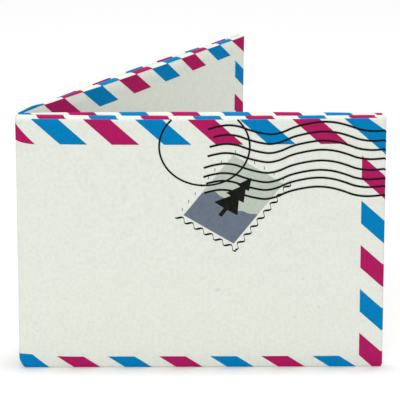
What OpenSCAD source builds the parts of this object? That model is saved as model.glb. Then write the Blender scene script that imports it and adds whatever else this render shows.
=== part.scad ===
// Bifold wallet folded from one printed paper sheet, standing open on its bottom folds.
// Each panel is an outer and an inner wall. Each wall is the sheet doubled over at the top
// in a soft roll, with its flap hanging inside. The note compartment lies between the walls.
// The print is drawn on the flat sheet and follows it over the folds as thin fields of ink.

/* [Panels] */
// Width of each panel, from the spine to its free end
panel_w = 108; // [90:1:130]
// Height of the outer wall's top crease
wall_h = 77.6; // [66:0.2:90]
// How much higher the inner wall's top crease stands
inner_rise = 0.5; // [0:0.1:1]
// Angle between the two panels
open_angle = 51; // [35:1:75]
// Thickness of the sheet
sheet_t = 0.2; // [0.14:0.02:0.26]
// Clear space between sheets that are pressed together
layer_gap = 0.1; // [0.06:0.02:0.16]

/* [Front panel] */
// Depth of the outer wall's roll beside the spine
front_outer_spine = 3.3; // [2:0.1:4]
// Depth of the outer wall's roll at the free end
front_outer_end = 1.8; // [1.2:0.1:2.5]
// Extra depth of the outer wall's roll at mid panel
front_outer_puff = 0.3; // [0:0.1:1]
// Depth of the inner wall's roll beside the spine
front_inner_spine = 0.8; // [0.7:0.05:1.5]
// Depth of the inner wall's roll at the free end
front_inner_end = 1.2; // [0.8:0.1:2]
// Extra depth of the inner wall's roll at mid panel
front_inner_puff = 1.9; // [0:0.1:2.5]
// How far the outer face bows forward at the top of mid panel
front_bow = 1.4; // [0:0.1:2.5]

/* [Rear panel] */
// Depth of the outer wall's roll at the free end
rear_outer_end = 1.4; // [1.2:0.1:2.5]
// Extra depth of the outer wall's roll at mid panel
rear_outer_puff = 1; // [0:0.1:1.5]
// Depth of the inner wall's roll at the free end
rear_inner_end = 1.9; // [0.8:0.1:2.5]
// Extra depth of the inner wall's roll at mid panel
rear_inner_puff = 1.8; // [0:0.1:2.5]
// How far the outer face bows outward at the top of mid panel
rear_bow = 3; // [0:0.1:4]
// How far the outer wall's crease dips at mid panel
rear_dip = 0.7; // [0:0.1:1.2]

/* [Folds] */
// Height of a top roll's crown above its creases
crown_h = 0.6; // [0.4:0.05:0.9]
// Depth of the bottom fold
foot_w = 1.5; // [1.4:0.1:2]
// Width of the flat that the bottom fold rests on
foot_flat = 0.3; // [0.2:0.05:0.5]
// Distance from the spine's outer side to the crease inside the V
spine_d = 1.3; // [1.2:0.05:2]
// Radius of the outer sheet where the front face turns into the spine
spine_r = 1; // [0.6:0.1:1.1]
// Radius of the crease inside the V
crease_r = 0.15; // [0.1:0.05:0.3]
// Rounding of the free ends
end_r = 0.8; // [0.5:0.1:0.9]
// Thickness of the folded end that closes the compartment
end_t = 0.3; // [0.2:0.05:0.4]
// Height of the flaps' lower edges above the table
flap_z = 12; // [6:1:40]
// Height of the clipped corner at the foot of the spine
clip_h = 1.8; // [0.5:0.1:3]
// Length of the clipped corner along each panel
clip_l = 1.6; // [0.5:0.1:3]

/* [Outer border] */
// Height of the striped border below the outer face's top crease
border_h = 7.5; // [5:0.5:10]
// Width of a stripe along the crease
stripe_w = 7.4; // [5:0.1:9]
// Distance from one stripe to the next
stripe_step = 15.2; // [11:0.1:18]
// How far a stripe leans over the border's height
stripe_lean = 8.2; // [4:0.1:10]
// Where the first whole stripe starts, from the spine
stripe_first = 5.2; // [0:0.1:10]
// Height of the border above the foot
foot_border_h = 3.2; // [2:0.1:5]
// How far a stripe leans over the height of the foot's border
foot_lean = 5.6; // [2:0.1:8]
// Where the first whole stripe of the foot's border starts, from the spine
foot_first = 11.2; // [0:0.1:14]
// Width of the border beside the free end
side_w = 6.9; // [4:0.1:9]
// Height of a stripe beside the free end
side_stripe_h = 6.8; // [4:0.1:8]
// Distance from one stripe to the next beside the free end
side_step = 13.7; // [10:0.1:16]
// How far a stripe falls over the width of the free end's border
side_fall = 6.2; // [3:0.1:8]
// Depth below the crease at which the free end's first stripe starts
side_first = 11.8; // [10:0.1:15]
// Height of the corner's stripe at the free end
corner_h = 5.3; // [3:0.1:6]

/* [Inner border] */
// Height of the striped border below the inner face's top crease
inner_border_h = 5.7; // [4:0.1:9]
// How far a stripe leans over the border's height
inner_lean = 6.7; // [4:0.1:9]
// Where the first stripe starts, from the crease inside the V
inner_first = 8.6; // [2:0.1:12]
// How much coarser the rear panel's inner print is beside the spine, and finer at the free end
rear_spread = 0.25; // [0:0.01:0.3]
// Width of the border beside the free end
inner_side_w = 4.4; // [3:0.1:8]
// Height of a stripe beside the free end
inner_side_h = 5.4; // [3:0.1:7]
// Distance from one stripe to the next beside the free end
inner_side_step = 10.9; // [9:0.1:14]
// How far a stripe falls over the width of the free end's border
inner_side_fall = 3.1; // [2:0.1:6]
// Depth below the crease at which the free end's first stripe starts
inner_side_first = 7.1; // [7:0.1:11]

/* [Roll stripes] */
// Where the first stripe of the front panel's outer roll starts, from the spine
roll_first = 7.1; // [5:0.1:10]
// Where the first stripe of the front panel's inner roll starts, from the spine
inner_roll_start = -0.8; // [-1:0.1:2]
// Where the first stripe of the rear panel's outer roll starts, from the crease inside the V
rear_roll_start = 16.3; // [3:0.1:18]
// How far a stripe leans on its way over one of the front panel's rolls
roll_lean = 1.8; // [0:0.1:3]
// Clear space between the stripes of a face and those of the roll above it
fold_gap = 0.06; // [0.04:0.01:0.1]

/* [Postmark] */
// Distance of the postmark's centre from the spine
mark_x = 55.1; // [45:0.1:60]
// Distance of the postmark's centre below the crease
mark_y = 8.3; // [7:0.1:10]
// Half width of the ring
mark_rx = 13.2; // [12:0.1:15]
// Half height of the ring
mark_ry = 12; // [11:0.1:15]
// Thickness of the inked lines
line_w = 0.42; // [0.3:0.02:0.5]
// Number of wavy lines
wave_count = 8; // [5:1:9]
// Distance of the first wavy line below the crease
wave_first = 3.5; // [3:0.1:4]
// Distance from one wavy line to the next
wave_step = 2.87; // [2.4:0.01:3]
// Length of one wave
wave_l = 29.4; // [24:0.1:34]
// Height of a wave's crest above its middle
wave_h = 1.45; // [0.8:0.05:1.8]
// How much each wavy line climbs over one wave
wave_climb = 1.1; // [0:0.1:1.5]
// Where the first crest lies, as a share of a wave from the ring's centre
wave_shift = 0.2; // [0:0.05:0.5]

/* [Stamp] */
// Distance of the stamp's centre from the spine
stamp_x = 63.6; // [60:0.1:70]
// Distance of the stamp's centre below the crease
stamp_y = 24.8; // [23:0.1:32]
// Turn of the stamp
stamp_turn = 35; // [20:1:45]
// Width of the stamp between its perforated edges
stamp_w = 20.4; // [18:0.1:22]
// Height of the stamp between its perforated edges
stamp_h = 26.4; // [25:0.1:28]
// Width of the plain margin inside the perforations
stamp_margin = 1.7; // [1:0.1:2.5]
// Distance from one tooth of the perforations to the next
tooth_step = 3.1; // [2.6:0.1:4]
// How far the teeth reach to each side of their middle line
tooth_h = 0.5; // [0.3:0.05:0.7]

/* [Ink] */
// Thickness of a layer of ink
ink_t = 0.04; // [0.03:0.01:0.06]
// Clear space under a layer of ink
ink_gap = 0.05; // [0.04:0.01:0.06]

/* [Hidden] */

// Colours of the paper and the inks
paper_colour = [0.90, 0.91, 0.88];
blue = [0.01, 0.49, 0.72];
magenta = [0.67, 0.14, 0.38];
pale_green = [0.65, 0.68, 0.64];
slate = [0.39, 0.43, 0.48];
black = [0.08, 0.08, 0.08];

// Sheets pressed together: two make a wall, four make a panel
pressed_wall = 2 * sheet_t + layer_gap;
pressed_panel = 2 * pressed_wall + layer_gap;

inner_h = wall_h + inner_rise;
front_spine_w = front_outer_spine + front_inner_spine + layer_gap;
rear_dir = [cos(open_angle), sin(open_angle)];
rear_out = [-sin(open_angle), cos(open_angle)];

// Centre of the crease inside the V, and the line where the rear panel's outer face starts
crease = [spine_d, front_spine_w + crease_r];
rear_start = crease + rear_out * (crease_r + pressed_panel);
back_r = rear_start[0] / (1 - sin(open_angle));
back_c = rear_start - back_r * rear_out;

// Lengths along the outer sheet: front face, rounded corner, spine strip, rounded back, rear face
front_l = panel_w - spine_r;
corner_l = PI / 2 * spine_r;
strip_l = back_c[1] - spine_r;
back_l = PI / 180 * back_r * (90 - open_angle);
rear_l = panel_w - spine_d;
total_l = front_l + corner_l + strip_l + back_l + rear_l;

// Number of steps in the curve of a roll, of its lining and of half the bottom fold, and along a wall
roll_n = 6;
roll_a = 180 / roll_n;
lining_n = 6;
foot_n = 3;
wall_n = 5;

function mix(a, b, f) = a + (b - a) * f;
function unit(v) = v / norm(v);

// Depth of a roll at fraction f of its panel, from the spine to the free end
function roll_w(spine, end, puff, f) = mix(spine, end, f) + puff * sin(180 * f);

// How far the free end's rounding draws surfaces in, at distance e from the end
function end_draw(e) = e >= end_r ? 0 : end_r - sqrt(end_r * end_r - (end_r - e) * (end_r - e));

// Rise of the foot at the clipped corner, at distance e from the spine
function clip_rise(e) = e >= clip_l ? 0 : clip_h * (1 - e / clip_l);

// A station is [outer point, inward direction, depth, outer roll, inner roll, foot height,
// outer crease height, inner crease height, bow]
function front_station(x) =
    let (f = (x - spine_d) / (panel_w - spine_d))
    let (draw = end_draw(panel_w - x))
    let (wo = roll_w(front_outer_spine, front_outer_end, front_outer_puff, f) - draw * 0.6)
    let (wi = roll_w(front_inner_spine, front_inner_end, front_inner_puff, f) - draw * 0.6)
    let (gap = mix(layer_gap, 3 * layer_gap, sin(180 * f)))
    [[x, draw * 0.6], [0, 1], wo + wi + gap, wo, wi, max(clip_rise(x), draw), wall_h - draw,
        inner_h - draw, front_bow * sin(180 * f)];

function spine_station(p) =
    let (d = norm(crease - p) - crease_r)
    let (f = (d - pressed_panel) / (front_spine_w - pressed_panel))
    let (wi = mix(pressed_wall, front_inner_spine, f))
    [p, unit(crease - p), d, d - wi - layer_gap, wi, clip_rise(p[0]), wall_h, inner_h, 0];

function rear_station(l) =
    let (f = l / rear_l)
    let (draw = end_draw(rear_l - l))
    let (wo = roll_w(pressed_wall, rear_outer_end, rear_outer_puff, f) - draw * 0.6)
    let (wi = roll_w(pressed_wall, rear_inner_end, rear_inner_puff, f) - draw * 0.6)
    let (gap = mix(layer_gap, 3 * layer_gap, sin(180 * f)))
    let (base = mix(pressed_panel, rear_outer_end + rear_inner_end + layer_gap, f))
    [crease + rear_dir * l + rear_out * (crease_r + base - draw * 0.6), -rear_out, wo + wi + gap, wo, wi,
        max(clip_rise(l + rear_start[0]), draw), wall_h - draw - rear_dip * sin(180 * f),
        inner_h - draw, rear_bow * sin(180 * f)];

// The station at distance s along the outer sheet, from the front panel's free end
function station(s) =
    s <= panel_w - spine_d ? front_station(panel_w - s)
    : s <= front_l ? spine_station([panel_w - s, 0])
    : s <= front_l + corner_l ? let (a = 90 * (s - front_l) / corner_l)
        spine_station([spine_r * (1 - sin(a)), spine_r * (1 - cos(a))])
    : s <= front_l + corner_l + strip_l ? spine_station([0, spine_r + s - front_l - corner_l])
    : s < total_l - rear_l ? let (a = 180 / PI * (s - front_l - corner_l - strip_l) / back_r)
        spine_station(back_c + back_r * [-cos(a), sin(a)])
    : rear_station(s - total_l + rear_l);

// A point in space at depth d and height z of a station
function place(st, d, z) =
    let (p = st[0] + st[1] * (d - st[8] * pow(z / wall_h, 2)))
    [p[0], p[1], z];

function arc(c, r, a0, a1, n) =
    [for (i = [0 : n]) let (a = mix(a0, a1, i / n)) c + [r[0] * cos(a), r[1] * sin(a)]];

// Depth of the inner face at height z
function inner_d(st, z, foot_d, foot_z) = mix(foot_d, st[2], (z - foot_z) / (st[7] - foot_z));

// The sheet's section, as [the outside, from mouth to mouth round the foot, the inside of
// the compartment and pockets, from mouth to mouth back again]
function section(st) =
    let (t = sheet_t)
    let (d = st[2])
    let (wo = st[3])
    let (wi = st[4])
    let (ho = min(crown_h, wo / 2))
    let (hi = min(crown_h, wi / 2))
    let (foot_d = min(d, foot_w))
    let (r = (foot_d - foot_flat) / 2)
    let (foot_z = st[5] + r)
    let (co = [wo / 2, st[6]])
    let (ci = [d - wi / 2, st[7]])
    let (ro = [wo / 2, ho])
    let (ri = [wi / 2, hi])
    let (skin = [t, t])
    let (flap_d = inner_d(st, flap_z, foot_d, foot_z) - t - layer_gap)
    [
        concat(
            arc(co, ro, 2 * roll_a, 180, roll_n - 2),
            [for (i = [1 : wall_n]) [0, mix(st[6], foot_z, i / wall_n)]],
            [for (p = arc([r, foot_z], [r, r], 180, 270, foot_n)) if (p[0] > 0.001) p],
            arc([foot_d - r, foot_z], [r, r], 270, 360, foot_n),
            [for (i = [1 : wall_n - 1]) let (z = mix(foot_z, st[7], i / wall_n))
                [inner_d(st, z, foot_d, foot_z), z]],
            arc(ci, ri, 0, 180 - 2 * roll_a, roll_n - 2)
        ),
        concat(
            arc(ci, ri, 180 - roll_a, 180, 1),
            [[flap_d - t, flap_z], [flap_d, flap_z]],
            arc(ci, ri - skin, 180, 0, lining_n),
            [for (i = [1 : wall_n - 1]) let (z = mix(st[7], foot_z, i / wall_n))
                [inner_d(st, z, foot_d, foot_z) - t, z]],
            arc([foot_d - r, foot_z], [r - t, r - t], 0, -90, foot_n),
            arc([r, foot_z], [r - t, r - t], 270, 180, foot_n),
            [for (i = [1 : wall_n - 1]) [t, mix(foot_z, st[6], i / wall_n)]],
            arc(co, ro - skin, 180, 0, lining_n),
            [[t + layer_gap, flap_z], [2 * t + layer_gap, flap_z]],
            arc(co, ro, 0, roll_a, 1)
        )
    ];

// Stations of the sheet: close together at the ends and round the spine
front_steps = 12;
rear_steps = 12;
corner_steps = 3;
strip_steps = 3;
back_steps = 2;
stops = concat(
    [end_t, end_r],
    [for (i = [1 : front_steps]) mix(end_r, panel_w - spine_d, i / front_steps)],
    [for (i = [0 : corner_steps]) front_l + corner_l * i / corner_steps],
    [for (i = [1 : strip_steps]) front_l + corner_l + strip_l * i / strip_steps],
    [for (i = [1 : back_steps]) front_l + corner_l + strip_l + back_l * i / back_steps],
    [for (i = [1 : rear_steps]) mix(total_l - rear_l, total_l - end_r, i / rear_steps)],
    [total_l - end_t]
);

function section_points(s, part) = let (st = station(s)) [for (p = section(st)[part]) place(st, p[0], p[1])];

outside_n = len(section(station(stops[0]))[0]);
inside_n = len(section(station(stops[0]))[1]);
ring_n = outside_n + inside_n;
rings = [for (s = stops) concat(section_points(s, 0), section_points(s, 1))];
front_end = section_points(0, 0);
rear_end = section_points(total_l, 0);

// The wallet's box in plan, whose centre is the origin
plan_x = [for (r = concat(rings, [front_end, rear_end])) for (p = r) p[0]];
plan_y = [for (r = concat(rings, [front_end, rear_end])) for (p = r) p[1]];
centre = [(min(plan_x) + max(plan_x)) / 2, (min(plan_y) + max(plan_y)) / 2];

// True where the section runs along the sheet's back, from one flap's lower edge to the other's
back_first = outside_n + 3;
back_last = ring_n - 5;
function on_back(j) = j >= back_first && j <= back_last;

// The folded sheet is one closed skin. Each end is shut by a cap that spans the whole section,
// with the compartment and pockets stopping short of it. Each square of the skin is two
// triangles, split the same way on both faces of the sheet.
module sheet() {
    last = len(stops) - 1;
    body_n = ring_n * len(stops);
    sides = [for (i = [0 : last - 1]) for (j = [0 : ring_n - 1])
        let (k = (j + 1) % ring_n)
        let (a = i * ring_n + j)
        let (b = i * ring_n + k)
        let (c = a + ring_n)
        let (d = b + ring_n)
        each on_back(j) ? [[a, b, c], [b, d, c]] : [[a, b, d], [a, d, c]]];
    front_lip = [for (j = [0 : outside_n - 1])
        let (k = (j + 1) % outside_n)
        [body_n + j, body_n + k, k, j]];
    rear_lip = [for (j = [0 : outside_n - 1])
        let (k = (j + 1) % outside_n)
        [last * ring_n + j, last * ring_n + k, body_n + outside_n + k, body_n + outside_n + j]];
    front_cap = [[for (j = [outside_n - 1 : -1 : 0]) body_n + j]];
    rear_cap = [[for (j = [0 : outside_n - 1]) body_n + outside_n + j]];
    front_stop = [concat([0], [for (j = [ring_n - 1 : -1 : outside_n - 1]) j])];
    rear_stop = [concat([for (j = [outside_n - 1 : ring_n - 1]) last * ring_n + j], [last * ring_n])];
    color(paper_colour)
        translate([-centre[0], -centre[1], 0])
            polyhedron(
                points = concat([for (r = rings) each r], front_end, rear_end),
                faces = concat(sides, front_lip, rear_lip, front_cap, rear_cap, front_stop, rear_stop),
                convexity = 10
            );
}

// The printed run of the section: over the outer roll, down the outer face, round the foot, up
// the inner face and over the inner roll
run = [for (k = [-2 : outside_n + 1]) (k + ring_n) % ring_n];
crease_row = roll_n;
foot_row = crease_row + wall_n;
inner_crease_row = len(run) - 1 - roll_n;
inner_foot_row = inner_crease_row - wall_n;

// How far each point of the run lies along the flat sheet, from the outer face's top crease
flat_section = let (parts = section(station(panel_w / 2))) concat(parts[0], parts[1]);
run_steps = [for (k = [1 : len(run) - 1]) norm(flat_section[run[k]] - flat_section[run[k - 1]])];
function sum_to(list, n) = n == 0 ? 0 : list[n - 1] + sum_to(list, n - 1);
rows = [for (k = [0 : len(run) - 1]) sum_to(run_steps, k) - sum_to(run_steps, crease_row)];

// Directions square to the sheet at the corners of its skin
last_stop = len(stops) - 1;
last_row = len(run) - 1;
normals = [for (i = [0 : last_stop]) [for (k = [0 : last_row])
    let (along = rings[min(i + 1, last_stop)][run[k]] - rings[max(i - 1, 0)][run[k]])
    let (down = rings[i][run[min(k + 1, last_row)]] - rings[i][run[max(k - 1, 0)]])
    unit(cross(along, down))]];

function raised(i, k, rise) = rings[i][run[k]] + rise * normals[i][k];

// Coordinates are rounded to a hundred-thousandth of a millimetre, so that neighbours meet exactly
function rounded(p) = [for (c = p) round(c * 1e5) / 1e5];

// Where point p of the flat sheet lies in space, in cell (i, k) of the skin and raised above it
function on_sheet(p, i, k, rise) =
    let (fs = (p[0] - stops[i]) / (stops[i + 1] - stops[i]))
    let (fu = (p[1] - rows[k]) / (rows[k + 1] - rows[k]))
    let (a = raised(i, k, rise))
    let (b = raised(i, k + 1, rise))
    let (c = raised(i + 1, k, rise))
    let (d = raised(i + 1, k + 1, rise))
    rounded(fu > fs ? a + fu * (b - a) + fs * (d - b) : a + fs * (c - a) + fu * (d - c));

// The part of a convex outline on the side of a line that direction side points to
function cut(outline, side, start) =
    [for (m = [0 : len(outline) - 1])
        let (p = outline[m])
        let (q = outline[(m + 1) % len(outline)])
        let (dp = side * (p - start))
        let (dq = side * (q - start))
        each concat(dp >= 0 ? [p] : [], dp * dq < 0 ? [mix(p, q, dp / (dp - dq))] : [])];

function between(outline, axis, low, high) =
    let (side = axis == 0 ? [1, 0] : [0, 1])
    cut(cut(outline, side, low * side), -side, high * side);

// A cell's part of an outline, in one piece where the cell is nearly flat, or else cut in two
// along the line on which the skin's two triangles meet
flat_enough = ink_gap / 2;
function fold_line(i, k) = [[stops[i], rows[k]], [stops[i + 1], rows[k + 1]]];
function twist(i, k) =
    norm(raised(i, k, 0) + raised(i + 1, k + 1, 0) - raised(i, k + 1, 0) - raised(i + 1, k, 0)) / 4;
function halves(part, i, k) =
    let (line = fold_line(i, k))
    let (across = [line[0][1] - line[1][1], line[1][0] - line[0][0]])
    twist(i, k) < flat_enough ? [part] : [cut(part, across, line[0]), cut(part, -across, line[0])];

// Twice the area of an outline, positive where it goes round in the sense that puts its top outwards
function doubled_area(outline) =
    let (n = len(outline))
    n < 3 ? 0 : sum_to([for (m = [0 : n - 1]) cross(outline[m], outline[(m + 1) % n])], n);
function facing(outline) =
    doubled_area(outline) > 0 ? outline : [for (m = [len(outline) - 1 : -1 : 0]) outline[m]];

// Lengths and areas that count as nothing, since they come from rounding
near = 1e-6;
speck = 1e-10;

// True where an outline's edge from p to q is a seam with the next cell, or with the next patch
// along one of the patch's joining lines
function on_line(p, line) = abs(cross(line[1] - line[0], p - line[0])) < near;
function is_inside(v, low, high) = v > low + near && v < high - near;
function is_seam(p, q, low, high, joins) =
    len([for (axis = [0, 1])
        if (abs(p[axis] - q[axis]) < near && is_inside(p[axis], low[axis], high[axis])) 1]) > 0
    || len([for (line = joins) if (on_line(p, line) && on_line(q, line)) 1]) > 0;

// Triangles round one patch of ink: its top, its underside and its edges. A patch is a convex
// outline on the flat sheet with the lines along which it joins the next patch.
function patch_skin(patch, rise) =
    let (outline = facing(patch[0]))
    let (low = [min([for (p = outline) p[0]]), min([for (p = outline) p[1]])])
    let (high = [max([for (p = outline) p[0]]), max([for (p = outline) p[1]])])
    [for (i = [0 : last_stop - 1]) if (stops[i + 1] > low[0] && stops[i] < high[0])
        for (k = [0 : last_row - 1]) if (rows[k + 1] > low[1] && rows[k] < high[1])
            let (whole = between(between(outline, 0, stops[i], stops[i + 1]), 1, rows[k], rows[k + 1]))
            for (part = halves(whole, i, k)) if (doubled_area(part) > speck)
                let (n = len(part))
                let (under = [for (p = part) on_sheet(p, i, k, rise)])
                let (over = [for (p = part) on_sheet(p, i, k, rise + ink_t)])
                each concat(
                    [for (m = [1 : n - 2]) [over[0], over[m + 1], over[m]]],
                    [for (m = [1 : n - 2]) [under[0], under[m], under[m + 1]]],
                    [for (m = [0 : n - 1])
                        let (e = (m + 1) % n)
                        if (!is_seam(part[m], part[e], low, high, concat(patch[1], [fold_line(i, k)])))
                            each [[over[m], under[e], under[m]], [over[m], over[e], under[e]]]]
                )];

// All patches of one ink as one polyhedron of separate closed skins, on a given layer
module ink(patches, layer) {
    rise = ink_gap + (layer - 1) * (ink_t + ink_gap);
    skin = [for (patch = patches) each patch_skin(patch, rise)];
    translate([-centre[0], -centre[1], 0])
        polyhedron(
            points = [for (triangle = skin) each triangle],
            faces = [for (m = [0 : len(skin) - 1]) [3 * m, 3 * m + 1, 3 * m + 2]],
            convexity = 10
        );
}

// A band between two rows of points, as patches that join each other
function band(left, right) =
    let (n = len(left))
    [for (m = [0 : n - 2])
        [[left[m], right[m], right[m + 1], left[m + 1]],
            concat(
                m > 0 ? [[left[m], right[m]]] : [],
                m < n - 2 ? [[left[m + 1], right[m + 1]]] : []
            )]];

// Outline of a stripe that starts at s on line u0 and leans by a length on its way to line u1
function stripe(s, lean, u0, u1) = [[s, u0], [s + stripe_w, u0], [s + stripe_w + lean, u1], [s + lean, u1]];

function kept(outline, axis, low, high) =
    let (part = between(outline, axis, low, high))
    len(part) > 2 ? [[part, []]] : [];

// Stripes of one colour between lines u0 and u1, at a steady step both ways from a first one. The
// ones that start between two limits are drawn, and cut off at a distance from the free ends.
function stripes(colour, first, step, lean, u0, u1, from, to, margin) =
    [for (n = [ceil((from - first) / step) : floor((to - first) / step)])
        if (abs(n) % 2 == colour)
            each kept(stripe(first + n * step, lean, u0, u1), 0, margin, total_l - margin)];

// Stripes of one colour across the border at a free end, falling from line s0 to line s1. Depths
// are measured from line top, towards the foot.
function side_stripes(colour, first, step, height, fall, s0, s1, top, sense, deepest) =
    [for (n = [0 : floor((deepest - first) / step)])
        if (n % 2 == colour)
            let (y = first + n * step)
            let (outline = [[s0, y], [s1, y + fall], [s1, y + fall + height], [s0, y + height]])
            each kept([for (p = outline) [p[0], top + sense * p[1]]], 1,
                min(top, top + sense * deepest), max(top, top + sense * deepest))];

// Print of the rear panel's inner side, drawn coarser beside the spine and finer at the free end
function spread_point(p) =
    let (f = (p[0] - rear_s) / (rear_l - end_t))
    let (on_face = p[1] > 0 && p[1] < inner_top)
    f <= 0 ? p : [
        p[0] + rear_spread * (1 - f) * (p[0] - rear_s),
        on_face ? inner_top + (p[1] - inner_top) * (1 + rear_spread * (1 - 2 * f)) : p[1]
    ];
function spread(patches) = [for (patch = patches) [[for (p = patch[0]) spread_point(p)], patch[1]]];

// Landmarks of the flat sheet
inner_top = rows[inner_crease_row];
roll_back = rows[1];
inner_roll_back = rows[last_row - 1];
rear_s = total_l - rear_l;
foot_r = (foot_w - foot_flat) / 2;
// The ink stops short of the foot's first line, above what the wallet rests on
foot_ink = 0.9 * (rows[foot_row + 1] - rows[foot_row]);
foot_top = rows[foot_row] - (foot_border_h - foot_r);
foot_end = rows[foot_row] + foot_ink;
inner_face_h = inner_top - rows[inner_foot_row] + foot_ink;
last_side_s = total_l - side_w;

// The two colours take turns: 0 draws the blue ones and 1 the magenta ones
function other(colour) = 1 - colour;

// Outer faces: one series along the top crease round the spine, and one along the foot
outer_first = panel_w - stripe_first - stripe_w;
corner_s = outer_first - stripe_step * floor((outer_first - end_t) / stripe_step);
foot_series = panel_w - foot_first - stripe_w;
function outer_border(colour) = concat(
    stripes(colour, outer_first, stripe_step, -stripe_lean, 0, border_h, corner_s + stripe_step / 2,
        total_l, end_t),
    colour == 0 ? kept([[corner_s, 0], [corner_s + stripe_w, 0],
        [end_t, side_first + side_fall + side_stripe_h - side_step],
        [end_t, side_first + side_fall + side_stripe_h - side_step - corner_h]], 0, end_t, panel_w) : [],
    side_stripes(other(colour), side_first, side_step, side_stripe_h, side_fall, side_w,
        end_t, 0, 1, foot_end),
    side_stripes(other(colour), side_first, side_step, side_stripe_h, side_fall, total_l - end_t,
        last_side_s, 0, 1, foot_end),
    stripes(other(colour), foot_series, stripe_step, -foot_lean, foot_top, foot_end,
        side_w + foot_lean, last_side_s - stripe_w, end_t)
);

// Inner faces: each has its own series from the crease inside the V
inner_rear_first = rear_s + inner_first;
inner_front_first = panel_w - inner_first - stripe_w;
inner_corner = inner_first + stripe_step * floor((rear_l - end_t - inner_first) / stripe_step);
inner_bottom = inner_top - inner_border_h;
function inner_border(colour) = concat(
    spread(stripes(other(colour), inner_rear_first, stripe_step, inner_lean, inner_top, inner_bottom,
        inner_rear_first, rear_s + inner_corner - stripe_step / 2, end_t)),
    colour == 1 ? spread([[[[rear_s + inner_corner, inner_top], [total_l - end_t, inner_top],
        [total_l - end_t, inner_bottom]], []]]) : [],
    side_stripes(colour, inner_side_first, inner_side_step, inner_side_h, inner_side_fall,
        total_l - inner_side_w, total_l - end_t, inner_top, -1, inner_face_h),
    stripes(other(colour), inner_front_first, stripe_step, inner_lean, inner_top, inner_bottom,
        end_t, inner_front_first, end_t),
    side_stripes(colour, inner_side_first, inner_side_step, inner_side_h, inner_side_fall,
        end_t, inner_side_w, inner_top, -1, inner_face_h)
);

// Rolls: the stripes stand between those of the faces, a hair's breadth away from them. One
// stripe runs through the crease inside the V, from the front panel's roll to the rear panel's.
outer_fold = -fold_gap;
inner_fold = inner_top + fold_gap;
roll_margin = (end_t + end_r) / 2;
outer_roll_first = panel_w - roll_first - stripe_w;
inner_roll_first = panel_w - inner_roll_start - stripe_w;
rear_roll_first = rear_s + rear_roll_start;
rear_inner_first = rear_s + inner_first - (stripe_step - stripe_w);
apex_stripe = [
    [inner_roll_first, inner_fold],
    [rear_inner_first + stripe_w, inner_fold],
    [rear_inner_first + stripe_w, inner_roll_back],
    [inner_roll_first - roll_lean, inner_roll_back]
];
function roll_stripes(colour) = concat(
    stripes(other(colour), outer_roll_first, stripe_step, roll_lean, outer_fold, roll_back,
        end_t, outer_roll_first, roll_margin),
    spread(stripes(colour, rear_roll_first, stripe_step, 0, outer_fold, roll_back, rear_roll_first,
        total_l, roll_margin)),
    stripes(colour, inner_roll_first, stripe_step, -roll_lean, inner_fold, inner_roll_back,
        -stripe_w / 2, inner_roll_first - stripe_step / 2, roll_margin),
    spread(stripes(colour, rear_inner_first, stripe_step, 0, inner_fold, inner_roll_back,
        rear_inner_first + stripe_step / 2, total_l, roll_margin)),
    colour == 0 ? spread([[apex_stripe, []]]) : []
);

module blue_stripes() {
    color(blue)
        ink(concat(outer_border(0), inner_border(0), roll_stripes(0)), 1);
}

module magenta_stripes() {
    color(magenta)
        ink(concat(outer_border(1), inner_border(1), roll_stripes(1)), 1);
}

// A point of the front face, x from the spine and y below the crease, on the flat sheet
function on_front(p) = [panel_w - p[0], p[1]];

// A point of the stamp, from its centre, on the flat sheet
function on_stamp(p) = on_front([
    stamp_x + p[0] * cos(stamp_turn) - p[1] * sin(stamp_turn),
    stamp_y + p[0] * sin(stamp_turn) + p[1] * cos(stamp_turn)
]);

// A line of ink along a path, with half its thickness to each side
function direction(path, m) = unit(path[min(m + 1, len(path) - 1)] - path[max(m - 1, 0)]);
function inked_line(path) =
    let (sides = [for (m = [0 : len(path) - 1])
        let (d = direction(path, m))
        [-d[1], d[0]] * line_w / 2])
    let (last = len(path) - 1)
    band([for (m = [0 : last]) path[m] + sides[m]], [for (m = [0 : last]) path[m] - sides[m]]);

// The stamp's picture: hills under a pale sky, with a tree in front
picture_w = stamp_w - 2 * stamp_margin;
picture_h = stamp_h - 2 * stamp_margin;
hill_line = [[-0.5, 0.12], [-0.2, -0.08], [0.04, 0.1], [0.28, -0.02], [0.5, 0.14]];
function in_picture(p) = [p[0] * picture_w, p[1] * picture_h];
module stamp_sky() {
    color(pale_green)
        ink(band(
            [for (p = hill_line) on_stamp(in_picture([p[0], -0.5]))],
            [for (p = hill_line) on_stamp(in_picture(p) - [0, ink_gap])]
        ), 1);
}

module stamp_hills() {
    color(slate)
        ink(band(
            [for (p = hill_line) on_stamp(in_picture(p) + [0, ink_gap])],
            [for (p = hill_line) on_stamp(in_picture([p[0], 0.5]))]
        ), 1);
}

// Half widths of the tree at its heights, from the tip to the foot of the trunk
tree = [[0.15, -8.4], [2, -4.6], [0.9, -4.5], [3, -0.7], [1.4, -0.6], [4, 3.6], [0.6, 3.7], [0.6, 6.4]];
module stamp_tree() {
    color(black)
        ink(band(
            [for (p = tree) on_stamp([-p[0], p[1]])],
            [for (p = tree) on_stamp([p[0], p[1]])]
        ), 2);
}

// The toothed edges that cast a printed shadow: the stamp's right side and its foot. Each tooth
// has a few steps.
tooth_n = 4;
function toothed(a, b) =
    let (d = unit(b - a))
    let (out = [d[1], -d[0]])
    let (teeth = round(norm(b - a) / tooth_step))
    [for (m = [0 : teeth * tooth_n])
        let (f = m / (teeth * tooth_n))
        on_stamp(mix(a, b, f) + out * tooth_h * sin(360 * teeth * f))];
module stamp_edge() {
    right_top = [stamp_w, -stamp_h] / 2;
    right_foot = [stamp_w, stamp_h] / 2;
    left_foot = [-stamp_w, stamp_h] / 2;
    inset = [line_w, 0];
    color(black)
        ink(concat(
            inked_line(toothed(right_top, right_foot)),
            inked_line(toothed(right_foot - inset, left_foot))
        ), 1);
}

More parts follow.
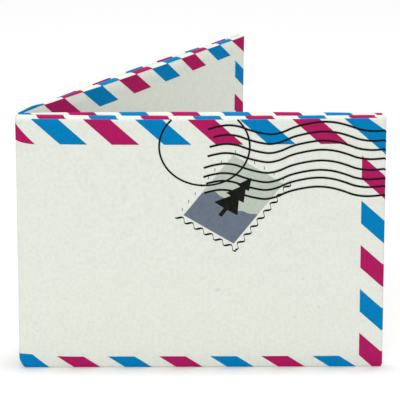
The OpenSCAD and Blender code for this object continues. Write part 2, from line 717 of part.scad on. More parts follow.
// The ring is cut off a little below the top crease. Wavy lines run from beside its centre to the
// free end.
ring_steps = 28;
wave_steps = 13;
mark_gap = 0.2;
wave_start = 0.9;
module postmark() {
    open = asin((mark_y - mark_gap) / mark_ry);
    ring = [for (m = [0 : ring_steps])
        let (a = mix(-open, 180 + open, m / ring_steps))
        on_front([mark_x + mark_rx * cos(a), mark_y + mark_ry * sin(a)])];
    waves = [for (n = [0 : wave_count - 1])
        [for (m = [0 : wave_steps])
            let (x = mix(mark_x + wave_start, panel_w - end_t - line_w / 2, m / wave_steps))
            let (phase = (x - mark_x) / wave_l)
            on_front([x, wave_first + n * wave_step - phase * wave_climb
                - wave_h * cos(360 * (phase - wave_shift))])]];
    color(black) {
        ink([for (w = waves) each inked_line(w)], 3);
        ink(inked_line(ring), 4);
    }
}

sheet();
blue_stripes();
magenta_stripes();
stamp_sky();
stamp_hills();
stamp_tree();
stamp_edge();
postmark();
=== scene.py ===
"""Looks for a bifold wallet folded from one printed paper sheet, standing open in a V.

The sheet's surface is one function of the flat sheet: s runs along it from the front panel's free
end, round the spine, to the rear panel's free end. u runs down the outer face from its top crease,
round the foot, up the inner face and over the inner roll. Lengths are in millimetres until a mesh
is made. The print is drawn in (s, u) and follows the sheet over its folds.
"""
import math

import bmesh
import bpy
import numpy as np
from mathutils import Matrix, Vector


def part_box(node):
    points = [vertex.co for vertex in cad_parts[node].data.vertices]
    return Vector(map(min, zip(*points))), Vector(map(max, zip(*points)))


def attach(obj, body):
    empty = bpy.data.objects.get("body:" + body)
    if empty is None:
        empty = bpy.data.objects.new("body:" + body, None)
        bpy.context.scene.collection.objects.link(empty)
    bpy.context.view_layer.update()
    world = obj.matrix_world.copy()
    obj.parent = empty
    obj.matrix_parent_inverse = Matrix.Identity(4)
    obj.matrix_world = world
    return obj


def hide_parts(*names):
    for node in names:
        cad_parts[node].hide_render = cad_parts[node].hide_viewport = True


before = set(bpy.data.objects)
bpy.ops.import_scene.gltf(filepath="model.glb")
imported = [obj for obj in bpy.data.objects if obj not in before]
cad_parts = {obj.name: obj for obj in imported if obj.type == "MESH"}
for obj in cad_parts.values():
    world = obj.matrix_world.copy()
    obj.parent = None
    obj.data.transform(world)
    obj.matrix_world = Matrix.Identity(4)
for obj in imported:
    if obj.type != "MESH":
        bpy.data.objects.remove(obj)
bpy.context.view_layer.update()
MM = 0.001

# Sizes from the frame
low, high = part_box("sheet")
PANEL_W = (high.x - low.x) / MM
CROWN_H = 0.6
INNER_RISE = 0.5
WALL_H = high.z / MM - CROWN_H - INNER_RISE
INNER_H = WALL_H + INNER_RISE

# Sizes of the folded sheet
OPEN_ANGLE = math.radians(51)
SHEET_T = 0.2
LAYER_GAP = 0.1
# Depth of a roll at the spine, at the free end, and what it swells by between them
FRONT_OUTER = (3.3, 1.8, 0.3)
FRONT_INNER = (0.8, 1.2, 1.9)
REAR_OUTER_END, REAR_OUTER_PUFF = 1.4, 1.0
REAR_INNER_END, REAR_INNER_PUFF = 1.9, 1.8
FRONT_BOW, REAR_BOW, REAR_DIP, REAR_INNER_DIP = 1.4, 3.0, 0.4, 0.4
REAR_LEAN, REAR_REACH, FRONT_REACH = 0.8, 0.8, 0.3
FOOT_W, FOOT_FLAT = 1.1, 0.3
SPINE_D, SPINE_R, CREASE_R = 1.3, 1.0, 0.15
END_R, END_T = 0.8, 0.3
# Share of the rounding at a free end that each roll loses in depth
DRAW_SHARE = 0.6
INNER_CUT, INNER_CUT_FALL = 1.25, 2.4
TIP_RISE, TIP_L = 0.7, 14
SPINE_RISE, SPINE_RISE_L = 0.5, 13
FLAP_Z = 12
CLIP_H, CLIP_L = 1.8, 1.6

PRESSED_WALL = 2 * SHEET_T + LAYER_GAP
PRESSED_PANEL = 2 * PRESSED_WALL + LAYER_GAP
FRONT_SPINE_W = FRONT_OUTER[0] + FRONT_INNER[0] + LAYER_GAP
REAR_DIR = np.array([math.cos(OPEN_ANGLE), math.sin(OPEN_ANGLE)])
REAR_OUT = np.array([-math.sin(OPEN_ANGLE), math.cos(OPEN_ANGLE)])
CREASE = np.array([SPINE_D, FRONT_SPINE_W + CREASE_R])
REAR_START = CREASE + REAR_OUT * (CREASE_R + PRESSED_PANEL)
BACK_R = REAR_START[0] / (1 - math.sin(OPEN_ANGLE))
BACK_C = REAR_START - BACK_R * REAR_OUT

FRONT_L = PANEL_W - SPINE_R
CORNER_L = math.pi / 2 * SPINE_R
STRIP_L = BACK_C[1] - SPINE_R
BACK_L = BACK_R * (math.pi / 2 - OPEN_ANGLE)
REAR_L = PANEL_W - SPINE_D
REAR_S = FRONT_L + CORNER_L + STRIP_L + BACK_L
TOTAL_L = REAR_S + REAR_L


def mix(a, b, f):
    return a + (b - a) * f


def roll_depth(spine, end, puff, f):
    return mix(spine, end, f) + puff * math.sin(math.pi * f)


def end_draw(e):
    """How far the rounding at a free end draws the surfaces in, at distance e from the end."""
    away = END_R - np.clip(e, 0, END_R)
    return END_R - math.sqrt(END_R ** 2 - away ** 2)


def clip_rise(e):
    return 0 if e >= CLIP_L else CLIP_H * (1 - e / CLIP_L)


def front_station(x):
    f = (x - SPINE_D) / (PANEL_W - SPINE_D)
    swell = math.sin(math.pi * f)
    draw = end_draw(PANEL_W - x)
    wo = roll_depth(*FRONT_OUTER, f) - draw * DRAW_SHARE
    wi = roll_depth(*FRONT_INNER, f) - draw * DRAW_SHARE
    gap = mix(LAYER_GAP, 3 * LAYER_GAP, swell)
    inner_drop = INNER_CUT_FALL * max(0, INNER_CUT - (PANEL_W - x))
    point = (x + FRONT_REACH * f * f, draw * DRAW_SHARE)
    foot = max(clip_rise(x), draw)
    creases = (WALL_H - draw, INNER_H - inner_drop)
    return [*point, 0, 1, wo + wi + gap, wo, wi, foot, *creases, FRONT_BOW * swell, 0]


def spine_station(p):
    away = CREASE - p
    reach = np.linalg.norm(away)
    d = reach - CREASE_R
    f = (d - PRESSED_PANEL) / (FRONT_SPINE_W - PRESSED_PANEL)
    wi = mix(PRESSED_WALL, FRONT_INNER[0], f)
    return [p[0], p[1], *(away / reach), d, d - wi - LAYER_GAP, wi, clip_rise(p[0]), WALL_H, INNER_H, 0, 0]


def rear_station(along):
    f = along / REAR_L
    swell = math.sin(math.pi * f)
    draw = end_draw(REAR_L - along)
    wo = roll_depth(PRESSED_WALL, REAR_OUTER_END, REAR_OUTER_PUFF, f) - draw * DRAW_SHARE
    wi = roll_depth(PRESSED_WALL, REAR_INNER_END, REAR_INNER_PUFF, f) - draw * DRAW_SHARE
    gap = mix(LAYER_GAP, 3 * LAYER_GAP, swell)
    base = mix(PRESSED_PANEL, REAR_OUTER_END + REAR_INNER_END + LAYER_GAP, f)
    reach = along + REAR_REACH * f * f
    point = CREASE + REAR_DIR * reach + REAR_OUT * (CREASE_R + base - draw * DRAW_SHARE)
    tip = TIP_RISE * max(0, 1 - (REAR_L - along) / TIP_L) ** 2
    crest = SPINE_RISE * math.sin(math.pi * min(1, along / SPINE_RISE_L)) ** 2
    foot = max(clip_rise(along + REAR_START[0]), draw)
    creases = (WALL_H - draw - REAR_DIP * swell + tip, INNER_H - draw - REAR_INNER_DIP * swell + crest)
    return [*point, *-REAR_OUT, wo + wi + gap, wo, wi, foot, *creases, REAR_BOW * swell, REAR_LEAN * f]


def station(s):
    """Outer point, inward direction, depth, two rolls, foot, two creases' heights, bow and lean."""
    if s <= PANEL_W - SPINE_D:
        return front_station(PANEL_W - s)
    if s <= FRONT_L:
        return spine_station(np.array([PANEL_W - s, 0]))
    if s <= FRONT_L + CORNER_L:
        a = (s - FRONT_L) / SPINE_R
        return spine_station(SPINE_R * np.array([1 - math.sin(a), 1 - math.cos(a)]))
    if s <= FRONT_L + CORNER_L + STRIP_L:
        return spine_station(np.array([0, SPINE_R + s - FRONT_L - CORNER_L]))
    if s < REAR_S:
        a = (s - FRONT_L - CORNER_L - STRIP_L) / BACK_R
        return spine_station(BACK_C + BACK_R * np.array([-math.cos(a), math.sin(a)]))
    return rear_station(s - REAR_S)


def spaced(start, end, step):
    n = max(1, round((end - start) / step))
    return list(np.linspace(start, end, n + 1))


# Lines of the mesh along s, close together where the sheet turns
# END_LINES are distances from a free end
END_LINES = [END_T, 0.45, 0.6, END_R, 1.05, INNER_CUT]
PANEL_STEP, SPINE_STEP, CORNER_STEP, BACK_STEP = 2, 0.15, 0.16, 0.25
TABLE_N = 1200


def lines_along():
    lines = END_LINES + [TOTAL_L - e for e in END_LINES]
    lines += spaced(INNER_CUT, PANEL_W - SPINE_D, PANEL_STEP)
    lines += spaced(PANEL_W - SPINE_D, FRONT_L, SPINE_STEP)
    lines += spaced(FRONT_L, FRONT_L + CORNER_L, CORNER_STEP)
    lines += spaced(FRONT_L + CORNER_L, REAR_S, BACK_STEP)
    lines += spaced(REAR_S, TOTAL_L - INNER_CUT, PANEL_STEP)
    return np.array(sorted(set(lines)))


S_LINES = lines_along()
TABLE_S = np.array(sorted(set(list(np.linspace(0, TOTAL_L, TABLE_N)) + list(S_LINES))))
TABLE = np.array([station(s) for s in TABLE_S])


def station_at(s):
    """The values of station() at s, read between the table's lines."""
    return [np.interp(s, TABLE_S, TABLE[:, k]) for k in range(TABLE.shape[1])]


# Landmarks along u
FOOT_R = (FOOT_W - FOOT_FLAT) / 2
FOOT_TURN = math.pi * FOOT_R / 2
ROLL_L = 3.2
FACE_L = WALL_H - FOOT_R
FOOT_L = math.pi * FOOT_R + FOOT_FLAT
INNER_FACE_L = INNER_H - FOOT_R
U_FOOT = FACE_L
U_INNER_FOOT = U_FOOT + FOOT_L
U_INNER = U_INNER_FOOT + INNER_FACE_L
U_BACK = -ROLL_L
U_INNER_BACK = U_INNER + ROLL_L

# Profile of a roll across its depth, as heights above its front crease: a thin ridge where the
# face folds over, a valley behind it and then the soft crown
ROLL_T = np.array([0, 0.03, 0.08, 0.14, 0.19, 0.25, 0.36, 0.5, 0.64, 0.78, 0.9, 0.96, 1])
OUTER_Z = np.array([0, 0.14, 0.17, 0.04, -0.02, 0.12, 0.38, 0.52, 0.57, 0.5, 0.32, 0.1, -0.15])
INNER_Z = np.array([-0.3, -0.12, 0.0, 0.08, 0.13, 0.17, 0.23, 0.27, 0.27, 0.24, 0.18, 0.1, 0])
FINE_T = np.linspace(0, 1, 201)
SMOOTH_N = 9

# The outer face rounds back a little below its top crease
EDGE_H, EDGE_D = 0.9, 0.22


def smooth(values):
    """A soft curve through the profile's heights, without overshoot."""
    fine = np.interp(FINE_T, ROLL_T, values)
    half = SMOOTH_N // 2
    padded = np.concatenate([np.full(half, fine[0]), fine, np.full(half, fine[-1])])
    curve = np.convolve(padded, np.ones(SMOOTH_N) / SMOOTH_N, mode="valid")
    ends = np.clip(np.minimum(FINE_T, 1 - FINE_T) / 0.03, 0, 1)
    return mix(fine, curve, ends)


OUTER_PROFILE = smooth(OUTER_Z)
INNER_PROFILE = smooth(INNER_Z)


def waves(s, z):
    """Slight unevenness of the folded paper, under a tenth of a millimetre."""
    calm = np.clip(np.minimum(s, TOTAL_L - s) / 6, 0, 1) * np.clip(z / 10, 0, 1)
    return 0.05 * calm * (np.sin(s * 0.21 + z * 0.05) * np.sin(z * 0.13 + 1.1)
                          + 0.6 * np.sin(s * 0.47 - z * 0.11 + 2.0))


def surface(s, u):
    """Points of the sheet's printed side at arrays s and u, in the folded shape's own frame."""
    s = np.asarray(s, float)
    u = np.asarray(u, float)
    px, py, dx, dy, depth, wo, wi, foot, zo, zi, bow, lean = station_at(s)
    foot_d = np.minimum(depth, FOOT_W)
    r = (foot_d - FOOT_FLAT) / 2
    foot_z = foot + r

    # Share of the way across each roll, and down or up each wall
    over_outer = (1 - np.cos(np.pi * np.clip(-u / ROLL_L, 0, 1))) / 2
    over_inner = (1 - np.cos(np.pi * np.clip((u - U_INNER) / ROLL_L, 0, 1))) / 2
    down = np.clip(u / FACE_L, 0, 1)
    up = np.clip((u - U_INNER_FOOT) / INNER_FACE_L, 0, 1)

    # Angles of the foot's two quarter turns, and the flat between them
    a = np.clip((u - U_FOOT) / FOOT_TURN, 0, 1) * math.pi / 2
    b = np.clip((u - U_FOOT - FOOT_TURN - FOOT_FLAT) / FOOT_TURN, 0, 1) * math.pi / 2
    flat = np.clip((u - U_FOOT - FOOT_TURN) / FOOT_FLAT, 0, 1)

    fields = [u < 0, u < U_FOOT, u < U_INNER_FOOT, u < U_INNER]
    outer_d = mix(EDGE_D * np.clip(wo, 0, 1), wo, over_outer)
    foot_depth = r * (1 - np.cos(a)) + (foot_d - 2 * r) * flat + r * np.sin(b)
    d = np.select(fields, [outer_d, 0 * u, foot_depth, mix(foot_d, depth, up)], depth - wi * over_inner)
    outer_z = zo + np.minimum(1, wo / 2) * np.interp(over_outer, FINE_T, OUTER_PROFILE)
    inner_z = zi + np.minimum(1, wi / 2) * np.interp(1 - over_inner, FINE_T, INNER_PROFILE)
    turn_z = foot_z - r * np.sin(a) + r * (1 - np.cos(b))
    z = np.select(fields, [outer_z, mix(zo, foot_z, down), turn_z, mix(foot_z, zi, up)], inner_z)

    rounding = EDGE_D * np.clip(1 - u / EDGE_H, 0, 1) ** 2 * (u >= 0) * np.clip(wo, 0, 1)
    d = d + rounding - bow * (z / WALL_H) ** 2 + lean * (1 - z / WALL_H) + waves(s, z)
    return np.stack([px + dx * d, py + dy * d, z], -1)


NUDGE = 0.02


def raised(s, u, rise):
    """Points above the printed side, along the surface's own direction."""
    s = np.asarray(s, float)
    u = np.asarray(u, float)
    points = surface(s, u)
    if rise == 0:
        return points
    s0, s1 = np.clip(s - NUDGE, 0, TOTAL_L), np.clip(s + NUDGE, 0, TOTAL_L)
    u0, u1 = np.clip(u - NUDGE, U_BACK, U_INNER_BACK), np.clip(u + NUDGE, U_BACK, U_INNER_BACK)
    n = np.cross(surface(s1, u) - surface(s0, u), surface(s, u1) - surface(s, u0))
    return points + rise * n / np.maximum(np.linalg.norm(n, axis=-1, keepdims=True), 1e-9)


# Lines of the mesh along u
ROLL_STEP, RIM_STEP, FACE_STEP, FOOT_STEP = ROLL_L / 22, 0.15, 3.5, 0.14


def lines_down():
    lines = spaced(U_BACK, 0, ROLL_STEP)
    lines += spaced(0, EDGE_H, RIM_STEP)
    lines += spaced(EDGE_H, U_FOOT, FACE_STEP)
    lines += spaced(U_FOOT, U_INNER_FOOT, FOOT_STEP)
    lines += spaced(U_INNER_FOOT, U_INNER, FACE_STEP)
    lines += spaced(U_INNER, U_INNER_BACK, ROLL_STEP)
    return np.array(sorted(set(lines)))


U_LINES = lines_down()

# Places of the lining's points: angles over a roll, shares of a wall's height and angles at the foot
ROLL_ANGLES = [math.pi * k / 6 for k in range(7)]
WALL_ROWS = (0.8, 0.6, 0.4, 0.2)
FOOT_ANGLES = (0, 0.79, 1.57)


def roll_back(a, width, profile):
    """Height of a roll's other side, a sheet's thickness under the printed side."""
    return min(1, width / 2) * float(np.interp((1 - math.cos(a)) / 2, FINE_T, profile)) - SHEET_T


def lining(s):
    """The sheet's other side at one station: inner flap, inner wall, foot, outer wall, outer flap."""
    px, py, dx, dy, depth, wo, wi, foot, zo, zi, bow, lean = [float(v) for v in station_at(s)]
    t = SHEET_T
    foot_d = min(depth, FOOT_W)
    r = (foot_d - FOOT_FLAT) / 2
    foot_z = foot + r
    flap_d = mix(foot_d, depth, (FLAP_Z - foot_z) / (zi - foot_z)) - t - LAYER_GAP
    line = [(flap_d - t, FLAP_Z), (flap_d, FLAP_Z)]
    for a in ROLL_ANGLES:
        line.append((depth - wi / 2 - (wi / 2 - t) * math.cos(a), zi + roll_back(a, wi, INNER_PROFILE)))
    for f in WALL_ROWS:
        line.append((mix(foot_d, depth, f) - t, mix(foot_z, zi, f)))
    for a in FOOT_ANGLES:
        line.append((foot_d - r + (r - t) * math.cos(a), foot_z - (r - t) * math.sin(a)))
    for a in FOOT_ANGLES:
        line.append((r - (r - t) * math.sin(a), foot_z - (r - t) * math.cos(a)))
    for f in WALL_ROWS:
        line.append((t, mix(zo, foot_z, f)))
    for a in ROLL_ANGLES:
        line.append((wo / 2 - (wo / 2 - t) * math.cos(a), zo + roll_back(a, wo, OUTER_PROFILE)))
    line += [(t + LAYER_GAP, FLAP_Z), (2 * t + LAYER_GAP, FLAP_Z)]
    points = []
    for d, z in line:
        d += lean * (1 - z / WALL_H) - bow * (z / WALL_H) ** 2
        points.append((px + dx * d, py + dy * d, z))
    return np.array(points)


def plan_offset():
    """What takes the folded shape's own frame to the part's frame, by the spine and the front face."""
    grid_s, grid_u = np.meshgrid(S_LINES, U_LINES)
    points = surface(grid_s.ravel(), grid_u.ravel())
    return np.array([low.x / MM, low.y / MM - points[:, 1].min(), 0])


OFFSET = plan_offset()


def to_frame(points):
    return (np.asarray(points) + OFFSET) * MM


def piece(name, vertices, faces, material, nodes):
    """A mesh piece that stands for its CAD nodes."""
    mesh = bpy.data.meshes.new(name)
    mesh.from_pydata([tuple(v) for v in vertices], [], faces)
    mesh.validate()
    mesh.update()
    obj = bpy.data.objects.new(name, mesh)
    bpy.context.scene.collection.objects.link(obj)
    mesh.shade_smooth()
    mesh.materials.append(material)
    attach(obj, "root")
    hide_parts(*nodes)
    return obj


def tube_faces(ring_n, rings_n):
    """Faces between each ring of points and the next."""
    faces = []
    for i in range(rings_n - 1):
        for j in range(ring_n):
            k = (j + 1) % ring_n
            a, b = i * ring_n + j, i * ring_n + k
            faces.append((a, a + ring_n, b + ring_n, b))
    return faces


def end_faces(ring_n, rings_n, outside):
    """Faces that close the two free ends, over the printed side and then over the lining."""
    last = (rings_n - 1) * ring_n
    body_n = rings_n * ring_n
    faces = []
    for j in range(outside):
        k = (j + 1) % outside
        faces.append((body_n + j, j, k, body_n + k))
        faces.append((last + j, body_n + outside + j, body_n + outside + k, last + k))
    faces.append(tuple(body_n + j for j in range(outside)))
    faces.append(tuple(body_n + outside + j for j in range(outside - 1, -1, -1)))
    faces.append((0, *range(ring_n - 1, outside - 2, -1)))
    faces.append((*range(last + outside - 1, last + ring_n), last))
    return faces


def make_sheet(material):
    outside = len(U_LINES)
    rings = []
    for s in S_LINES:
        printed = surface(np.full(outside, s), U_LINES)
        rings.append(np.concatenate([printed, lining(s)]))
    front_cap = surface(np.full(outside, 0.0), U_LINES)
    rear_cap = surface(np.full(outside, TOTAL_L), U_LINES)
    vertices = to_frame(np.concatenate(rings + [front_cap, rear_cap]))
    ring_n = len(rings[0])
    faces = tube_faces(ring_n, len(rings)) + end_faces(ring_n, len(rings), outside)
    obj = piece("folded_sheet", vertices, faces, material, ["sheet"])
    mesh = bmesh.new()
    mesh.from_mesh(obj.data)
    bmesh.ops.recalc_face_normals(mesh, faces=mesh.faces)
    mesh.to_mesh(obj.data)
    mesh.free()


def make_print(name, outlines, rise, material, nodes):
    """Thin fields of ink: flat outlines in (s, u), cut along the sheet's lines and laid on it."""
    flat = bmesh.new()
    for outline in outlines:
        flat.faces.new([flat.verts.new((p[0], p[1], 0)) for p in outline])
    span_s = (min(v.co.x for v in flat.verts), max(v.co.x for v in flat.verts))
    span_u = (min(v.co.y for v in flat.verts), max(v.co.y for v in flat.verts))
    cuts = [((c, 0, 0), (1, 0, 0)) for c in S_LINES if span_s[0] < c < span_s[1]]
    cuts += [((0, c, 0), (0, 1, 0)) for c in U_LINES if span_u[0] < c < span_u[1]]
    for point, normal in cuts:
        geometry = flat.verts[:] + flat.edges[:] + flat.faces[:]
        bmesh.ops.bisect_plane(flat, geom=geometry, dist=1e-6, plane_co=point, plane_no=normal)
    flat.verts.ensure_lookup_table()
    flat.verts.index_update()
    points = np.array([v.co[:2] for v in flat.verts])
    faces = [tuple(v.index for v in face.verts) for face in flat.faces]
    flat.free()
    placed = to_frame(raised(points[:, 0], points[:, 1], rise))
    obj = piece(name, placed, faces, material, nodes)
    turn_out(obj.data, faces, points)


def turn_out(mesh, faces, points):
    """Turns faces so that they all look away from the sheet."""
    turned = []
    for face in faces:
        area = 0
        for m in range(len(face)):
            p, q = points[face[m]], points[face[(m + 1) % len(face)]]
            area += p[0] * q[1] - q[0] * p[1]
        turned.append(area < 0)
    work = bmesh.new()
    work.from_mesh(mesh)
    work.faces.ensure_lookup_table()
    wrong = [work.faces[k] for k in range(len(work.faces)) if turned[k]]
    bmesh.ops.reverse_faces(work, faces=wrong)
    work.to_mesh(mesh)
    work.free()


# Layout of the border
BORDER_H, STRIPE_W, STRIPE_STEP, STRIPE_LEAN, STRIPE_FIRST = 7.7, 7.95, 15.2, 8.4, 4.55
FOOT_BORDER_H, FOOT_LEAN, FOOT_FIRST = 3.45, 5.2, 11.2
FOOT_LIFT, FOOT_LIFT_L = 1.15, 16
SIDE_W, SIDE_H, SIDE_STEP, SIDE_FALL, SIDE_FIRST, CORNER_H = 6.95, 7.1, 13.84, 6.4, 11.45, 7.2
INNER_BORDER_H, INNER_LEAN, INNER_FIRST, REAR_SPREAD = 5.7, 6.7, 8.6, 0.25
INNER_SIDE_W, INNER_SIDE_H, INNER_SIDE_STEP, INNER_SIDE_FALL, INNER_SIDE_FIRST = 4.8, 5.4, 10.9, 4.3, 7.0
ROLL_FIRST, INNER_ROLL_FIRST, REAR_ROLL_FIRST, ROLL_LEAN = 7.1, -1.1, 15.9, 1.8
REAR_PULL, PULL_FROM, PULL_TO = 1.5, 0.45, 0.9
INNER_CORNER_H = 6.9
FRONT_BLUE, BLUE_SAG = 3.4, 0.5
FACE_END, ROLL_END = 0.02, 0.3
SPINE_PULL, PULL_H = 6.0, 1.1
CREEP, CREEP_FROM = 1.7, 33
CORNER_CUT = 1.0
EDGE_STEP, EDGE_STEP_L = 1.0, 28
REAR_SHIFT = 0.4
SPREAD_FALL = 0.8
FINE_STEP = 0.5
# How far the print of a face runs on under the foot
FOOT_INK = 0.9 * math.pi / 3 * FOOT_R
INNER_BOTTOM = U_INNER - INNER_BORDER_H
# Share of the way over a roll that is printed
ROLL_SHARE = 0.97
ROLL_BACK = U_BACK * ROLL_SHARE
INNER_ROLL_BACK = mix(U_INNER, U_INNER_BACK, ROLL_SHARE)


def clipped(outline, axis, start, end):
    """The part of a convex outline between two values of one coordinate."""
    for limit, side in ((start, 1), (end, -1)):
        part = []
        for m, p in enumerate(outline):
            q = outline[(m + 1) % len(outline)]
            dp, dq = side * (p[axis] - limit), side * (q[axis] - limit)
            if dp >= 0:
                part.append(p)
            if dp * dq < 0:
                f = dp / (dp - dq)
                part.append((mix(p[0], q[0], f), mix(p[1], q[1], f)))
        outline = part
        if len(outline) < 3:
            return []
    return outline


def lifted(outline):
    """Beside the spine the front border rises a little with the paper's pull round the fold."""
    placed = []
    for s, u in outline:
        x = abs(PANEL_W - s)
        near_spine = max(0, 1 - x / SPINE_PULL) ** 2
        placed.append((s, max(0, u - PULL_H * near_spine * min(1, u / PULL_H))))
    return placed


def footed(outline):
    """The foot's border stands a little higher beside the spine, and keeps its height at the clip."""
    placed = []
    for s, u in outline:
        x = abs(PANEL_W - s)
        height = FOOT_BORDER_H + FOOT_LIFT * max(0, 1 - x / FOOT_LIFT_L) ** 1.5
        share = max(0, U_FOOT - u) / (FOOT_BORDER_H - FOOT_R)
        placed.append((s, max(u, U_FOOT) - share * (height - clip_rise(x) - FOOT_R)))
    return placed


def finer(outline, axis, step):
    """The same outline with points added along its long sides."""
    found = []
    for m, p in enumerate(outline):
        q = outline[(m + 1) % len(outline)]
        n = max(1, math.ceil(abs(q[axis] - p[axis]) / step))
        found += [(mix(p[0], q[0], k / n), mix(p[1], q[1], k / n)) for k in range(n)]
    return found


def spread(outline):
    """Spreads the rear panel's inner print as the photo shows it, finer towards the free end."""
    placed = []
    for s, u in outline:
        f = min(1, max(0, (s - REAR_S) / REAR_L))
        pull = min(1, max(0, (f - PULL_FROM) / (PULL_TO - PULL_FROM)))
        s += REAR_SPREAD * (1 - f) * max(0, s - REAR_S) - REAR_PULL * pull * pull * (3 - 2 * pull)
        if u > 0:
            u = U_INNER + (u - U_INNER) * (1 + REAR_SPREAD * SPREAD_FALL * (1 - 2 * f))
        placed.append((s, u))
    return placed


def crept(outline):
    """The front panel's inner roll has crept along a little towards the spine."""
    placed = []
    for s, u in outline:
        away = (PANEL_W - s - CREEP_FROM) / (PANEL_W - CREEP_FROM)
        placed.append((s + CREEP * away * abs(away), u))
    return placed


def stepped(outline):
    """Towards the free end the front panel's outer roll has crept along too."""
    placed = []
    for s, u in outline:
        placed.append((s + EDGE_STEP * max(0, 1 - s / EDGE_STEP_L) ** 2, u))
    return placed


def stripes(colour, first, lean, u0, u1, start, end, margin):
    found = []
    for n in range(math.ceil((start - first) / STRIPE_STEP), math.floor((end - first) / STRIPE_STEP) + 1):
        if abs(n) % 2 != colour:
            continue
        s = first + n * STRIPE_STEP
        outline = [(s, u0), (s + STRIPE_W, u0), (s + STRIPE_W + lean, u1), (s + lean, u1)]
        found.append(clipped(outline, 0, margin, TOTAL_L - margin))
    return [outline for outline in found if outline]


def side_stripes(colour, first, step, height, fall, s0, s1, top, sense, deepest):
    found = []
    for n in range(math.floor((deepest - first) / step) + 1):
        if n % 2 != colour:
            continue
        y = first + n * step
        outline = [(s0, y), (s1, y + fall), (s1, y + fall + height), (s0, y + height)]
        placed = [(s, top + sense * v) for s, v in outline]
        limits = sorted((top, top + sense * deepest))
        found.append(clipped(placed, 1, *limits))
    return [outline for outline in found if outline]


def outer_faces(colour):
    """Stripes along the top of the outer faces, at their free ends and along the foot."""
    other = 1 - colour
    first = PANEL_W - STRIPE_FIRST - STRIPE_W
    corner_s = first - STRIPE_STEP * math.floor((first - END_T) / STRIPE_STEP)
    top = stripes(colour, first, -STRIPE_LEAN, 0, BORDER_H, corner_s + STRIPE_STEP / 2, TOTAL_L, FACE_END)
    found = [lifted(finer(outline, 0, FINE_STEP)) for outline in top]
    if colour == 0:
        drop = SIDE_FIRST + SIDE_FALL + SIDE_H - SIDE_STEP
        found.append([(corner_s + CORNER_CUT, 0), (corner_s + STRIPE_W, 0), (FACE_END, drop),
                      (FACE_END, drop - CORNER_H)])
    sizes = (SIDE_FIRST, SIDE_STEP, SIDE_H, SIDE_FALL)
    foot_top, foot_end = U_FOOT - (FOOT_BORDER_H - FOOT_R), U_FOOT + FOOT_INK
    found += side_stripes(other, *sizes, SIDE_W, FACE_END, 0, 1, foot_end)
    found += side_stripes(other, *sizes, TOTAL_L - FACE_END, TOTAL_L - SIDE_W, 0, 1, foot_end)
    foot = stripes(other, PANEL_W - FOOT_FIRST - STRIPE_W, -FOOT_LEAN, foot_top, foot_end,
                   SIDE_W + FOOT_LEAN, TOTAL_L - SIDE_W - STRIPE_W, FACE_END)
    return found + [footed(finer(outline, 0, FINE_STEP)) for outline in foot]


def inner_faces(colour):
    """Stripes at the free ends of the inner faces and along the top of the front panel's."""
    sizes = (INNER_SIDE_FIRST, INNER_SIDE_STEP, INNER_SIDE_H, INNER_SIDE_FALL)
    deepest = INNER_FACE_L + FOOT_INK
    first = PANEL_W - INNER_FIRST - STRIPE_W
    found = side_stripes(colour, *sizes, TOTAL_L - INNER_SIDE_W, TOTAL_L - FACE_END, U_INNER, -1, deepest)
    found += stripes(1 - colour, first, INNER_LEAN, U_INNER, INNER_BOTTOM, END_T, first, FACE_END)
    found += side_stripes(colour, *sizes, FACE_END, INNER_SIDE_W, U_INNER, -1, deepest)
    return found


def front_rolls(colour):
    """Stripes on the front panel's outer and inner roll."""
    outer_first = PANEL_W - ROLL_FIRST - STRIPE_W
    inner_first = PANEL_W - INNER_ROLL_FIRST - STRIPE_W
    outer = stripes(1 - colour, outer_first, ROLL_LEAN, 0, ROLL_BACK, END_T, outer_first, ROLL_END)
    inner = stripes(colour, inner_first, -ROLL_LEAN, U_INNER, INNER_ROLL_BACK, -STRIPE_W,
                    inner_first - STRIPE_STEP / 2, -STRIPE_STEP)
    found = [stepped(outline) for outline in outer]
    return found + [clipped(crept(outline), 0, ROLL_END, TOTAL_L) for outline in inner]


def rear_inside(colour):
    """Stripes along the top of the rear panel's inner face and on its rolls, spread along the panel."""
    first = REAR_S + INNER_FIRST
    corner_x = INNER_FIRST + STRIPE_STEP * math.floor((REAR_L - END_T - INNER_FIRST) / STRIPE_STEP)
    corner_s = REAR_S + corner_x
    found = stripes(1 - colour, first, INNER_LEAN, U_INNER, INNER_BOTTOM, first,
                    corner_s - STRIPE_STEP / 2, FACE_END)
    if colour == 1:
        beyond = TOTAL_L + REAR_PULL
        found.append([(corner_s, U_INNER), (beyond, U_INNER), (beyond, U_INNER - INNER_CORNER_H)])
    outer = REAR_S + REAR_ROLL_FIRST
    inner = first - (STRIPE_STEP - STRIPE_W) - REAR_SHIFT
    found += stripes(colour, outer, 0, 0, ROLL_BACK, outer, TOTAL_L, ROLL_END)
    found += stripes(colour, inner, 0, U_INNER, INNER_ROLL_BACK, inner + STRIPE_STEP / 2, TOTAL_L, ROLL_END)
    if colour == 0:
        start, end = PANEL_W - FRONT_BLUE, inner + STRIPE_W
        found.append([(start, U_INNER), (inner + STRIPE_W / 2, U_INNER - BLUE_SAG), (end, U_INNER),
                      (end, INNER_ROLL_BACK), (start - ROLL_LEAN, INNER_ROLL_BACK)])
    placed = [clipped(spread(outline), 0, 0, TOTAL_L - FACE_END) for outline in found]
    return [outline for outline in placed if outline]


def border(colour):
    """All stripes of one colour: 0 is the blue and 1 the magenta."""
    return outer_faces(colour) + inner_faces(colour) + front_rolls(colour) + rear_inside(colour)


